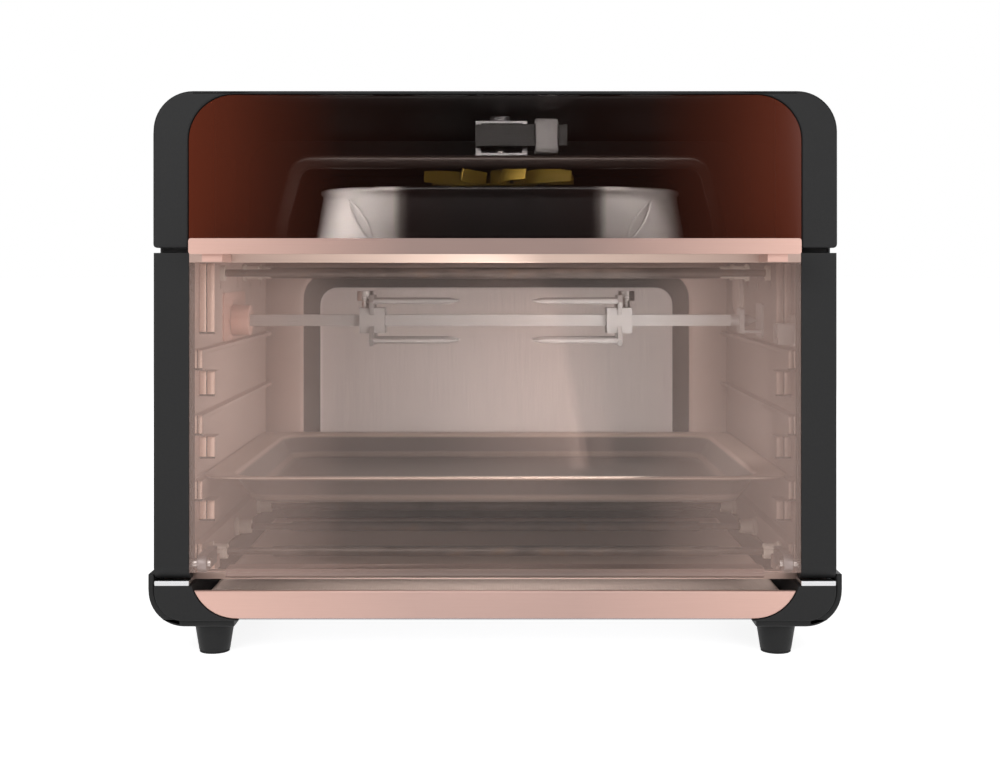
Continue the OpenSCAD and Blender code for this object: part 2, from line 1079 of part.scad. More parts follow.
cord_r = 3.8;
gland_in = 8;
gland_out = 11;

// Strain relief bush of the mains lead, in the rear panel.
module cord_gland() {
    color([0.06, 0.06, 0.06])
    translate([gland_x, 0, gland_z])
    difference() {
        union() {
            y_rod(rear_y - gland_in, rear_y + gland_out, gland_neck_r);
            y_rod(rear_y, rear_y + 3, gland_neck_r + 4);
            y_rod(rear_y - gland_in, rear_y - sheet, gland_neck_r + 2);
        }
        y_rod(rear_y - gland_in - 1, rear_y + gland_out + 1, cord_r);
    }
}

case_screw_x = 196;

// Screws of the rear panel.
module case_screws() {
    color([0.25, 0.25, 0.25])
    both_sides()
    for (z = [110, 180, 250, 330])
        translate([case_screw_x, 0, z])
        union() {
            y_rod(rear_y, rear_y + 1, 4.4);
            y_rod(rear_y + 1, rear_y + 2.2, 3.4);
        }
}

// ---- Door ----

// Ears of the hinge: a round eye about the axis and an arm fixed to the lowest ledge lug.
module hinge_brackets() {
    color([0.4, 0.36, 0.34])
    both_sides()
    difference() {
        side_slab(ear_x, ear_x + ear_t)
        union() {
            translate([hinge_y, hinge_z])
            circle(ear_r);
            translate([hinge_y, hinge_z - ear_r])
            square([frame_y + 18 - hinge_y, 2 * ear_r]);
        }
        translate([0, hinge_y, hinge_z])
        x_rod(ear_x - 1, ear_x + ear_t + 1, hinge_r + fit);
    }
}

pin_end = window_w + 12;

module hinge_pins() {
    color([0.8, 0.8, 0.8])
    both_sides()
    translate([0, hinge_y, hinge_z])
    x_rod(ear_x - 2, pin_end, hinge_r);
}

// Black side columns of the door. Each ends in a half round about the hinge axis.
module door_stiles() {
    color([0.16, 0.16, 0.16])
    both_sides()
    difference() {
        side_slab(window_w, door_w / 2)
        union() {
            translate([hinge_y, hinge_z])
            circle(hinge_edge);
            translate([front_y, hinge_z])
            square([front_t, door_top - hinge_z]);
        }
        translate([0, hinge_y, hinge_z])
        x_rod(window_w - 1, pin_end, hinge_r);
    }
}

module door_outer_glass() {
    color([0.9, 0.8, 0.78, 0.25])
    block([-window_w, front_y, hinge_z - 4.4], [window_w, front_y + glass_t, door_top - rail_h]);
}

module door_inner_glass() {
    color([0.9, 0.8, 0.78, 0.2])
    block(
        [-window_w, door_inner_y - glass_t - 0.6, hinge_z + 7],
        [window_w, door_inner_y - 0.6, door_top - rail_h]
    );
}

module door_top_rail() {
    color([0.9, 0.78, 0.73])
    block([-window_w, front_y, door_top - rail_h], [window_w, door_inner_y, door_top]);
}

// Slim rail along the foot of the door, rounded about the hinge axis.
module door_bottom_rail() {
    color([0.45, 0.37, 0.35])
    side_slab(-166, 166)
    intersection() {
        translate([hinge_y, hinge_z])
        circle(hinge_edge);
        translate([front_y + glass_t, trim_top])
        square([front_t, 7]);
    }
}

// Flat gasket on the face of the cavity frame.
module door_seal() {
    color([0.3, 0.3, 0.3])
    front_slab(frame_y - 2.6, frame_y - 1)
    difference() {
        rounded([-cavity_x - 9, hinge_z + 14], [cavity_x + 9, door_top - 1], 8);
        rounded([-cavity_x - 4, hinge_z + 10], [cavity_x + 4, door_top - 2.2], 5);
    }
}

handle_low = 249.5;
handle_high = 258.8;
handle_t = 14;
post_x = 162;

// Flat bar handle on two stepped posts.
module door_handle() {
    color([0.88, 0.71, 0.65])
    union() {
        front_slab(front_y - handle_out, front_y - handle_out + handle_t)
        rounded([-handle_w / 2, handle_low], [handle_w / 2, handle_high], 1.5);
        both_sides()
        block(
            [post_x, front_y - handle_out + 3, door_top - rail_h + 0.4],
            [post_x + 12, front_y, handle_low]
        );
    }
}

// ---- Trays ----

tray_front = front_y + 28;
tray_back = 130;
tray_rim = 171;
tray_foot = 162.7;
tray_low = 89.5;
rim_t = 1.4;
rim_out = cavity_x - 2.5;
rim_w = 8;

// Baking tray: tapered pan with a rim that runs out to the ledges.
module baking_tray() {
    color([0.5, 0.47, 0.45])
    difference() {
        union() {
            translate([0, 0, tray_level])
            linear_extrude(rim_t)
            rounded([-rim_out, tray_front], [rim_out, tray_back], 6);
            pan(0, tray_low, tray_level);
        }
        pan(sheet, tray_low + sheet, tray_level + 3);
    }
}

// Solid with four sloping sides, inset on every side.
module pan(inset, low, high) {
    slope = tray_rim - tray_foot;
    intersection() {
        front_slab(tray_front, tray_back)
        polygon([
            [inset - tray_foot, low], [tray_foot - inset, low],
            [tray_rim - inset, high], [inset - tray_rim, high]
        ]);
        side_slab(-half_w, half_w)
        polygon([
            [tray_front + rim_w + slope + inset, low], [tray_back - rim_w - slope - inset, low],
            [tray_back - rim_w - inset, high], [tray_front + rim_w + inset, high]
        ]);
    }
}

crumb_front_t = 3;
crumb_back = 140;
crumb_wall_top = crumb_top - 6;
crumb_play = 0.5;

// Lower part of a bottom-rounded outline, inset on every side and cut off level at top.
module trough_outline(inset, top) {
    intersection() {
        bottom_rounded(crumb_w - inset, crumb_z + inset, crumb_top + 30, tray_r - inset);
        translate([-crumb_w, 0])
        square([2 * crumb_w, top]);
    }
}

// Crumb tray: shallow trough under the heaters, with its rose front panel.
module crumb_tray() {
    color([0.88, 0.72, 0.66])
    union() {
        front_slab(front_y, front_y + crumb_front_t)
        trough_outline(0, crumb_top);
        front_slab(front_y + crumb_front_t, crumb_back)
        difference() {
            trough_outline(crumb_play, crumb_wall_top);
            trough_outline(crumb_play + wall_t, crumb_wall_top + 1);
        }
        front_slab(crumb_back - wall_t, crumb_back)
        trough_outline(crumb_play, crumb_wall_top);
    }
}

outer_wrap();
front_bezel();
fascia_glass();
rear_panel();
rear_spacers();
bottom_pan();
base_rails();
trim_strips();
corner_legs();
feet();
foot_pads();
liner_left_wall();
liner_right_wall();
liner_back_wall();
liner_roof();
front_frame();
side_insulation();
fan_guard();
air_dome();
air_hood();
hood_screws();
motor_bracket();
motor_end_frames();
motor_stator();
motor_coil();
motor_rotor();
fan_shaft();
cooling_fan();
convection_fan();
top_heaters();
bottom_heaters();
heater_insulators();
gearmotor();
drive_plate();
drive_socket();
spit_rod();
spit_forks();
fork_screws();
spit_brackets();
temperature_probe();
lamp_holder();
lamp_bulb();
lamp_lens();
control_board();
display_module();
power_board();
thermal_cutout();
cord_gland();
case_screws();
hinge_brackets();
hinge_pins();
door_stiles();
door_outer_glass();
door_inner_glass();
door_top_rail();
door_bottom_rail();
door_seal();
door_handle();
baking_tray();
crumb_tray();
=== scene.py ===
"""Looks of the countertop rotisserie oven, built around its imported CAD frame.

Metres, +Z up, the door faces -Y. Pressed and turned parts get finer meshes of their own;
the other nodes keep their CAD meshes, with rounded edges.
"""

import json
import math

import bpy
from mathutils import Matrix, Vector


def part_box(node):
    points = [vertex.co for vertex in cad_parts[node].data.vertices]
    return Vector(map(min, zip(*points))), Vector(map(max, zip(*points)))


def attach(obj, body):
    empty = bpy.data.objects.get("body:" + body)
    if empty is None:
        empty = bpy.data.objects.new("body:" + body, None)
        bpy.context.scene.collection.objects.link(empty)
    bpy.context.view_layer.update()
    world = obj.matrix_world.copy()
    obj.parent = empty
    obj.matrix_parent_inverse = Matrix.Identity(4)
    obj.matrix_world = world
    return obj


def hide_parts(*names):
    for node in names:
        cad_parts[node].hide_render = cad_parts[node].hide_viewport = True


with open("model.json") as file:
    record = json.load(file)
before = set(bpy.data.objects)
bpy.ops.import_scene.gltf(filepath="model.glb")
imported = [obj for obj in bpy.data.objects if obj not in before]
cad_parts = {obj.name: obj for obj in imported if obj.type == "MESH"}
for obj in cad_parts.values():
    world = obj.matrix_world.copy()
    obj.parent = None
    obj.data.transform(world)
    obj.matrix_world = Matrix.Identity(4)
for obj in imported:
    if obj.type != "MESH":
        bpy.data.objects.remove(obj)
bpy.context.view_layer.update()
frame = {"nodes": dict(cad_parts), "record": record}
MM = 0.001


def middle(node):
    low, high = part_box(node)
    return [(a + b) / 2 for a, b in zip(low, high)]


# ---- Camera, lights and floor ----

EYE_DISTANCE = 0.9  # from the camera to the door's face
EYE_HEIGHT = 0.24
EYE_SIDE = 0.003
FOCAL_MM = 52.8  # on a sensor 36 mm wide
SENSOR_MM = 36
VIEW_SHIFT = -0.1175
ROOM_LIGHT = 0.34  # strength of the white room on everything but the camera
FLOOR_GREY = 0.5
FLOOR_GLOW = 0.84
LAMP_WARM = (1.0, 0.93, 0.88)
FAN_WARM = (1.0, 0.95, 0.85)


def make_camera():
    door_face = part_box("door_outer_glass")[0][1]
    data = bpy.data.cameras.new("camera")
    data.lens = FOCAL_MM
    data.sensor_width = SENSOR_MM
    data.shift_y = VIEW_SHIFT
    camera = bpy.data.objects.new("camera", data)
    camera.location = (EYE_SIDE, door_face - EYE_DISTANCE, EYE_HEIGHT)
    camera.rotation_euler = (math.pi / 2, 0, 0)
    bpy.context.collection.objects.link(camera)
    bpy.context.scene.camera = camera


def area_light(name, place, target, size, power, colour=(1, 1, 1), spread=180, glossy=True):
    """Panel of light at place that faces target. Reflections show it only if it is glossy."""
    data = bpy.data.lights.new(name, "AREA")
    data.shape = "RECTANGLE"
    data.size, data.size_y = size
    data.energy = power
    data.color = colour
    data.spread = math.radians(spread)
    light = bpy.data.objects.new(name, data)
    light.location = place
    aim = Vector(target) - Vector(place)
    light.rotation_euler = aim.to_track_quat("-Z", "Y").to_euler()
    light.visible_camera = False
    light.visible_glossy = glossy
    bpy.context.collection.objects.link(light)


def make_studio_lights():
    """Soft panels round the oven, and an even white room."""
    area_light("key", (-0.8, -1.7, 1.1), (0, 0, 0.15), (1.1, 0.9), 19)
    area_light("fill", (0.9, -1.6, 0.6), (0, 0, 0.15), (0.9, 0.9), 8)
    area_light("top", (0, 0, 1.7), (0, 0, 0.2), (1.6, 1.6), 9)
    area_light("rear", (0.4, 1.7, 0.9), (0, 0, 0.2), (1.2, 0.8), 9)
    world = bpy.data.worlds.new("studio")
    world.use_nodes = True
    tree = world.node_tree
    backdrop = tree.nodes["Background"]
    backdrop.inputs["Color"].default_value = (1, 1, 1, 1)
    seen = tree.nodes.new("ShaderNodeLightPath").outputs["Is Camera Ray"]
    level = tree.nodes.new("ShaderNodeMapRange")
    level.inputs["To Min"].default_value = ROOM_LIGHT
    level.inputs["To Max"].default_value = 1.0
    tree.links.new(seen, level.inputs["Value"])
    tree.links.new(level.outputs[0], backdrop.inputs["Strength"])
    bpy.context.scene.world = world
    bpy.context.scene.view_settings.view_transform = "Standard"


def make_cavity_lights():
    """The oven's own lamp, and small lights that show the cavity and the crumb tray."""
    lens_x, lens_y, lens_z = middle("lamp_lens")
    lamp = (lens_x - 0.006, lens_y, lens_z)
    area_light("oven_lamp", lamp, (-0.19, -0.02, 0.12), (0.03, 0.03), 0.03, LAMP_WARM, glossy=False)

    # In the mouth of the cavity, over the baking tray and under it.
    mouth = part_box("door_inner_glass")[1][1] + 0.002
    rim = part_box("baking_tray")[1][2]
    over = (0.07, mouth, rim + 0.064)
    area_light("cavity_light", over, (-0.12, mouth + 0.25, rim + 0.03), (0.20, 0.11), 0.75, glossy=False)
    under = (0.02, mouth, rim - 0.040)
    area_light("heater_light", under, (0, mouth + 0.2, rim - 0.050), (0.28, 0.02), 0.04, glossy=False)

    # Inside the front of the crumb tray, whose floor shows under the door.
    low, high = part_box("crumb_tray")
    slot = (0, low[1] + 0.006, high[2] - 0.007)
    area_light("crumb_light", slot, (0, low[1] + 0.1, low[2]), (0.34, 0.008), 0.05, glossy=False)


def make_fan_bay_lights():
    """Small lights behind the fascia, on the bay, the dome and the cooling fan."""
    fascia_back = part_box("fascia_glass")[1][1]
    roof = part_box("liner_roof")[1][2]
    bay = (0, fascia_back + 0.004, roof + 0.092)
    area_light("fan_bay_light", bay, (0, 0, roof + 0.03), (0.30, 0.012), 0.60)

    low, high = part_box("air_dome")
    face = (low[2] + high[2]) / 2
    for word, side, power in (("left", -1, 0.075), ("right", 1, 0.020)):
        start = (side * 0.138, fascia_back + 0.008, face + 0.010)
        aim = (side * 0.098, low[1] + 0.04, face)
        area_light("dome_light_" + word, start, aim, (0.02, 0.04), power, spread=70, glossy=False)

    fan = (EYE_SIDE, low[1] + 0.006, high[2] + 0.006)
    fan_aim = (EYE_SIDE, 0, high[2] + 0.010)
    area_light("fan_light", fan, fan_aim, (0.16, 0.008), 0.085, FAN_WARM, glossy=False)


# ---- Shader helpers ----

MIX_FIRST, MIX_SECOND, MIX_RESULT = 6, 7, 2  # the colour sockets of a Mix node


class Shader:
    """One node material under construction, around a Principled shader."""

    def __init__(self, name, colour, roughness, metallic=0.0, **sockets):
        self.material = bpy.data.materials.new(name)
        self.material.use_nodes = True
        self.tree = self.material.node_tree
        self.bsdf = self.tree.nodes["Principled BSDF"]
        self.set("Base Color", (*colour, 1))
        self.set("Roughness", roughness)
        self.set("Metallic", metallic)
        for socket, value in sockets.items():
            self.set(socket.replace("_", " "), value)
        self.place = self.node("ShaderNodeTexCoord").outputs["Object"]

    def node(self, kind, **inputs):
        """A shader node of one kind, with the named sockets linked or set."""
        made = self.tree.nodes.new(kind)
        for socket, value in inputs.items():
            self.feed(made.inputs[socket.replace("_", " ")], value)
        return made

    def feed(self, socket, value):
        """Links or sets a socket."""
        if isinstance(value, bpy.types.NodeSocket):
            self.tree.links.new(value, socket)
        else:
            socket.default_value = value

    def set(self, socket, value):
        self.feed(self.bsdf.inputs[socket], value)

    def math(self, operation, *values):
        made = self.tree.nodes.new("ShaderNodeMath")
        made.operation = operation
        for socket, value in zip(made.inputs, values):
            self.feed(socket, value)
        return made.outputs[0]

    def blend_shaders(self, share, first, second):
        """A shader node that is first where share is 0 and second where it is 1."""
        both = self.node("ShaderNodeMixShader", Fac=share)
        self.tree.links.new(first.outputs[0], both.inputs[1])
        self.tree.links.new(second.outputs[0], both.inputs[2])
        return both

    def noise(self, scale, stretch=(1, 1, 1), detail=4.0):
        """Grey noise. The axes with a small stretch are the ones its streaks run along."""
        spread = self.node("ShaderNodeMapping", Vector=self.place, Scale=stretch).outputs[0]
        return self.node("ShaderNodeTexNoise", Vector=spread, Scale=scale, Detail=detail).outputs[0]

    def ramp(self, source, *stops):
        """A colour or grey ramp. Each stop is a place and a grey or a colour."""
        made = self.node("ShaderNodeValToRGB", Fac=source)
        points = made.color_ramp.elements
        while len(points) < len(stops):
            points.new(0.5)
        for point, (place, value) in zip(points, stops):
            point.position = place
            point.color = (*value, 1) if isinstance(value, tuple) else (value, value, value, 1)
        return made.outputs[0]

    def mix(self, factor, first, second):
        """The first colour where factor is 0, the second where it is 1."""
        made = self.tree.nodes.new("ShaderNodeMix")
        made.data_type = "RGBA"
        self.feed(made.inputs[0], factor)
        for socket, colour in ((MIX_FIRST, first), (MIX_SECOND, second)):
            self.feed(made.inputs[socket], (*colour, 1) if isinstance(colour, tuple) else colour)
        return made.outputs[MIX_RESULT]

    def axis(self, name):
        return self.node("ShaderNodeSeparateXYZ", Vector=self.place).outputs[name]

    def span(self, source, low, high):
        """0 at low and 1 at high, clamped."""
        made = self.node("ShaderNodeMapRange", Value=source)
        made.inputs["From Min"].default_value = low
        made.inputs["From Max"].default_value = high
        return made.outputs[0]

    def bump(self, height, strength, distance):
        made = self.node("ShaderNodeBump", Height=height, Strength=strength, Distance=distance)
        self.set("Normal", made.outputs[0])

    def vary(self, colour, spread, scale):
        """Base colour that wanders by spread round colour."""
        dark, light = tone(colour, 1 - spread), tone(colour, 1 + spread)
        self.set("Base Color", self.ramp(self.noise(scale), (0.3, dark), (0.7, light)))


def tone(colour, factor):
    """A lighter or darker tone of a colour."""
    return tuple(min(1.0, c * factor) for c in colour)


def coated(name, colour, roughness, grain, depth):
    """Powder coat or textured plastic: fine grain and a slightly uneven gloss."""
    look = Shader(name, colour, roughness, Specular_IOR_Level=0.22)
    look.vary(colour, 0.08, 600.0)
    look.set("Roughness", look.ramp(look.noise(900), (0.3, roughness - 0.03), (0.7, roughness + 0.05)))
    look.bump(look.noise(grain, detail=3.0), 0.35, depth)
    return look.material


def brushed(name, colour, roughness, metallic, along, contrast):
    """Rolled or brushed sheet: fine lines along one axis, over faint clouds."""
    look = Shader(name, colour, roughness, metallic)
    lines = look.noise(30, tuple(1 if axis == along else 110 for axis in "XYZ"), detail=6.0)
    clouds = look.noise(9, detail=3.0)
    shade = look.math("ADD", look.math("MULTIPLY", lines, 0.6), look.math("MULTIPLY", clouds, 0.4))
    dark, light = tone(colour, 1 - contrast), tone(colour, 1 + contrast)
    look.set("Base Color", look.ramp(shade, (0.3, dark), (0.7, light)))
    smooth = max(0.05, roughness - 0.05)
    look.set("Roughness", look.ramp(lines, (0.25, smooth), (0.75, roughness + 0.07)))
    look.bump(lines, 0.04, 0.0002)
    return look.material


def pane(name, film, share, tint, roughness, gloss):
    """Thin glass: see-through and tinted, with a film over a share of it and a glossy face.

    gloss is how much it reflects head on; towards grazing it rises to a full reflection.
    """
    look = Shader(name, film, roughness)
    smear = look.ramp(look.noise(7, detail=2.0), (0.3, roughness), (0.8, roughness + 0.05))
    look.set("Roughness", smear)
    clear = look.node("ShaderNodeBsdfTransparent", Color=(*tint, 1))
    shine = look.node("ShaderNodeBsdfAnisotropic", Color=(1, 1, 1, 1), Roughness=smear)
    facing = look.node("ShaderNodeLayerWeight", Blend=0.5).outputs["Facing"]
    reflected = look.math("MULTIPLY_ADD", look.math("POWER", facing, 5.0), 1 - gloss, gloss)
    filmed = look.blend_shaders(share(look) if callable(share) else share, clear, look.bsdf)
    whole = look.blend_shaders(reflected, filmed, shine)
    look.tree.links.new(whole.outputs[0], look.tree.nodes["Material Output"].inputs["Surface"])
    return look


def sideways(look, inner, outer):
    """0 within inner metres of the middle plane, 1 beyond outer."""
    return look.span(look.math("ABSOLUTE", look.axis("X")), inner, outer)


# ---- Materials ----

RUST = (0.078, 0.0145, 0.0060)
RUST_INNER = (0.046, 0.0115, 0.0062)
DOOR_FILM = (0.50, 0.345, 0.295)
LINER = (0.46, 0.36, 0.325)
LINER_SHADE = (0.27, 0.21, 0.19)
PANEL = (0.55, 0.505, 0.485)
BARE_STEEL = (0.9, 0.9, 0.9)
# Dark steel: painted shade down the rear recess's sides, and the darker brushed lines of the right wall.
SHADE_AND_GRAIN_DARK = (0.060, 0.054, 0.052)
# Dome tones: the dark middle, the turn and the dark rim are painted shade and painted reflection.
DOME_BRIGHT = (0.74, 0.72, 0.71)
DOME_TURN = (0.17, 0.16, 0.155)
DOME_EDGE = (0.66, 0.63, 0.62)
DOME_RIM = (0.06, 0.05, 0.047)
DOME_DARK = (0.012, 0.010, 0.011)
TRAY_WALL = (0.095, 0.083, 0.078)
# Lighter tone of the tray's rim and foot bend: a painted highlight.
TRAY_RIM_HIGHLIGHT = (0.46, 0.37, 0.32)
LAMINATION = (0.05, 0.049, 0.05)
BOARD = (0.02, 0.10, 0.045)
BOARD_TRACK = (0.05, 0.22, 0.09)
WOOL = (0.72, 0.68, 0.55)

PANE_END = 0.188  # from the middle plane to the end of the fascia and of the door's glass


def smoked_glass():
    """Fascia glass: clear in the middle, dense and rust-brown towards its ends."""
    stops = ((0.0, 0.02), (0.44, 0.10), (0.70, 0.46), (0.85, 0.76), (1.0, 0.95))

    def share(look):
        return look.ramp(sideways(look, 0.02, PANE_END), *stops)

    look = pane("smoked_glass", RUST, share, (0.42, 0.40, 0.39), 0.06, 0.004)
    look.set("Base Color", look.ramp(sideways(look, 0.09, PANE_END), (0.0, RUST_INNER), (1.0, RUST)))
    look.set("Specular IOR Level", 0.08)
    return look.material


def door_glass():
    """Door glass: clear in the middle, with a rose film that grows towards its ends."""
    stops = ((0.0, 0.012), (0.35, 0.03), (0.62, 0.12), (1.0, 0.19))

    def share(look):
        return look.ramp(sideways(look, 0.04, PANE_END), *stops)

    return pane("door_glass", DOOR_FILM, share, (0.97, 0.95, 0.94), 0.04, 0.008).material


def rose_metal(name, end, centre):
    """Satin rose metal whose colour ramps from the middle to the ends of a long part, as painted light
    and shade.
    """
    roughness = 0.34
    look = Shader(name, end, roughness, 0.25)
    lines = look.noise(30, (1, 50, 50), detail=5.0)
    # Painted light and shade: the ramp makes the ends and the middle of the part lighter or darker than
    # each other.
    across = look.ramp(sideways(look, 0.05, 0.185), (0.0, centre), (1.0, end))
    look.set("Base Color", look.mix(look.math("MULTIPLY", lines, 0.16), across, tone(centre, 0.62)))
    look.set("Roughness", look.ramp(lines, (0.3, roughness - 0.06), (0.7, roughness + 0.08)))
    look.bump(lines, 0.05, 0.0002)
    return look.material


def dome_steel():
    """Polished steel, darkened over its middle and at its outer edges as painted shade and painted
    reflection.
    """
    look = Shader("dome_steel", DOME_BRIGHT, 0.4, 0.1)
    lines = look.noise(20, (90, 90, 1), detail=4.0)
    off_centre = look.math("ABSOLUTE", look.math("SUBTRACT", look.axis("X"), middle("air_dome")[0]))
    outward = look.span(off_centre, 0.0, 0.130)
    # Painted shade and painted reflection: dark over the middle of the front and at the rim, with the
    # steel's own bright tone on the turned corners between.
    heart = ((0.0, DOME_DARK), (0.46, DOME_DARK), (0.50, DOME_TURN), (0.54, DOME_BRIGHT))
    rim = ((0.94, DOME_EDGE), (0.985, DOME_RIM))
    painted_shading = look.ramp(outward, *heart, *rim)
    look.set("Base Color", look.mix(look.math("MULTIPLY", lines, 0.06), painted_shading, DOME_DARK))
    look.set("Roughness", look.ramp(lines, (0.3, 0.38), (0.7, 0.43)))
    look.bump(lines, 0.005, 0.0001)
    return look.material


def back_steel():
    """Rear wall: rose-tinted liner, a dark band of painted shade down the recess's sloping sides, and a
    grey panel.
    """
    look = Shader("back_steel", PANEL, 0.42, 0.3)
    low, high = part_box("liner_back_wall")
    deep = look.span(look.axis("Y"), low[1], high[1])
    lines = look.noise(26, (60, 1, 1), detail=6.0)
    grey = look.ramp(lines, (0.3, tone(PANEL, 0.92)), (0.7, tone(PANEL, 1.06)))
    # Painted shade: a dark band down the recess's sloping sides, easing towards bare steel just before
    # the grey panel.
    stops = ((0.0, LINER), (0.06, LINER), (0.13, SHADE_AND_GRAIN_DARK), (0.80, SHADE_AND_GRAIN_DARK), (0.90, BARE_STEEL))
    inside = look.math("GREATER_THAN", deep, 0.84)
    look.set("Base Color", look.mix(inside, look.ramp(deep, *stops), grey))
    look.set("Roughness", look.ramp(lines, (0.3, 0.36), (0.7, 0.48)))
    look.bump(lines, 0.03, 0.0002)
    return look.material


def liner_shade():
    """Right wall's liner: a darker copy of the liner as painted shade, darker still towards the roof."""
    look = Shader("liner_shade", LINER_SHADE, 0.42, 0.3)
    low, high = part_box("liner_right_wall")
    up = look.span(look.axis("Z"), low[2], high[2])
    lines = look.noise(30, (110, 1, 110), detail=6.0)
    # Painted shade: the wall darkens towards the roof.
    painted_shade_up = look.ramp(up, (0.45, LINER_SHADE), (0.95, tone(LINER_SHADE, 0.42)))
    look.set("Base Color", look.mix(look.math("MULTIPLY", lines, 0.25), painted_shade_up, SHADE_AND_GRAIN_DARK))
    look.set("Roughness", look.ramp(lines, (0.25, 0.36), (0.75, 0.48)))
    look.bump(lines, 0.04, 0.0002)
    return look.material


def tray_steel():
    """Tray steel: dull walls, with painted highlights on the rim and on a band at the foot bend."""
    look = Shader("tray_steel", TRAY_WALL, 0.36, 0.45)
    low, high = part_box("baking_tray")
    up = look.span(look.axis("Z"), low[2], high[2])
    lines = look.noise(30, (1, 110, 110), detail=6.0)
    # Painted highlights: a lighter band round the foot bend and a light rim at the top.
    bend = tuple((wall + rim) / 3 for wall, rim in zip(TRAY_WALL, TRAY_RIM_HIGHLIGHT))
    foot = ((0.08, TRAY_WALL), (0.13, bend), (0.26, bend), (0.32, TRAY_WALL))
    rim = ((0.80, TRAY_WALL), (0.90, TRAY_RIM_HIGHLIGHT))
    lit = look.ramp(up, *foot, *rim)
    look.set("Base Color", look.mix(look.math("MULTIPLY", lines, 0.2), lit, TRAY_WALL))
    look.set("Roughness", look.ramp(lines, (0.3, 0.32), (0.7, 0.42)))
    look.bump(lines, 0.02, 0.0001)
    return look.material


def heat_darkened(name, colour, roughness, metallic):
    """Steel with a broad mottling of brown heat tint."""
    look = Shader(name, colour, roughness, metallic)
    cloud = look.noise(60, detail=5.0)
    red, green, blue = colour
    brown = (red * 1.2, green, blue * 0.8)
    look.set("Base Color", look.ramp(cloud, (0.3, tone(colour, 0.6)), (0.55, colour), (0.75, brown)))
    look.set("Roughness", look.ramp(cloud, (0.3, roughness - 0.08), (0.7, roughness + 0.12)))
    look.bump(look.noise(700), 0.2, 0.0002)
    return look.material


def laminated():
    """Stack of thin motor laminations: fine level lines."""
    look = Shader("motor_steel", LAMINATION, 0.5, 0.5)
    layers = look.node("ShaderNodeTexWave", Vector=look.place, Scale=300.0, Distortion=0.0)
    layers.bands_direction = "Z"
    look.set("Base Color", look.ramp(layers.outputs["Fac"], (0.2, 0.035), (0.8, 0.075)))
    look.bump(layers.outputs["Fac"], 0.4, 0.0003)
    return look.material


def circuit_board():
    """Green board with a brick-like pattern of tracks."""
    look = Shader("circuit_board", BOARD, 0.35)
    tracks = look.node("ShaderNodeTexBrick", Vector=look.place, Scale=160.0).outputs["Fac"]
    look.set("Base Color", look.mix(tracks, BOARD, BOARD_TRACK))
    look.bump(tracks, 0.2, 0.0003)
    return look.material


def insulation():
    """Mineral wool: pale and rough."""
    look = Shader("insulation", WOOL, 0.95, Sheen_Weight=0.3)
    look.vary(WOOL, 0.2, 160.0)
    look.bump(look.noise(420, detail=6.0), 0.8, 0.002)
    return look.material


# Colour, roughness, scale of the grain and its depth.
COATED = {
    "wrap_steel": ((0.0115, 0.0115, 0.0118), 0.5, 1400, 0.0003),
    "black_plastic": ((0.0105, 0.0105, 0.0108), 0.52, 1900, 0.0002),
    "coil_wrap": ((0.38, 0.374, 0.374), 0.5, 500, 0.0004),
    "ceramic": ((0.50, 0.46, 0.41), 0.6, 900, 0.0003),
    "rubber": ((0.012, 0.012, 0.012), 0.75, 1200, 0.0003),
    "silicone": ((0.16, 0.13, 0.125), 0.6, 900, 0.0002),
}

# Colour, roughness, metallic, axis of the lines and their contrast.
BRUSHED = {
    "bright_trim": ((0.60, 0.60, 0.61), 0.2, 1.0, "Y", 0.06),
    "liner_steel": (LINER, 0.4, 0.35, "Y", 0.12),
    # Lit and shaded copies of the lug steel for the two walls, and a dark tone for painted shade in the
    # lugs' grooves and under them.
    "lug_steel": ((0.95, 0.71, 0.61), 0.36, 0.25, "Z", 0.06),
    "lug_shade": ((0.32, 0.25, 0.22), 0.36, 0.25, "Z", 0.06),
    "lug_groove": ((0.045, 0.036, 0.032), 0.5, 0.25, "Z", 0.1),
    "trough_steel": ((0.42, 0.33, 0.29), 0.45, 0.2, "Y", 0.12),
    "hood_steel": ((0.030, 0.021, 0.018), 0.34, 0.5, "X", 0.1),
    "plain_steel": ((0.55, 0.54, 0.53), 0.26, 1.0, "X", 0.1),
    "spit_steel": ((0.30, 0.29, 0.285), 0.42, 0.5, "X", 0.1),
    "zinc_steel": ((0.30, 0.30, 0.31), 0.4, 0.9, "X", 0.12),
    "fan_brass": ((0.42, 0.30, 0.06), 0.42, 0.3, "Z", 0.12),
    "gear_case": ((0.5, 0.5, 0.48), 0.35, 0.9, "Y", 0.1),
}

# Colour at the ends and colour in the middle; the step between them is painted light and shade.
ROSE = {
    "rose_metal": ((0.60, 0.37, 0.31), (0.42, 0.275, 0.238)),
    "handle_rose": ((0.59, 0.36, 0.30), (0.25, 0.17, 0.148)),
    "rail_rose": ((0.38, 0.26, 0.22), (0.74, 0.55, 0.46)),
    "frame_rose": ((0.30, 0.20, 0.172), (0.16, 0.115, 0.10)),
}

# Colour of the film, its share, tint, roughness and gloss.
PANES = {
    "inner_glass": (DOOR_FILM, 0.006, (0.985, 0.975, 0.97), 0.04, 0.008),
    "lamp_glass": ((0.5, 0.45, 0.42), 0.45, (0.95, 0.92, 0.88), 0.12, 0.04),
    "bulb": ((0.9, 0.85, 0.75), 0.3, (0.98, 0.95, 0.9), 0.1, 0.02),
}

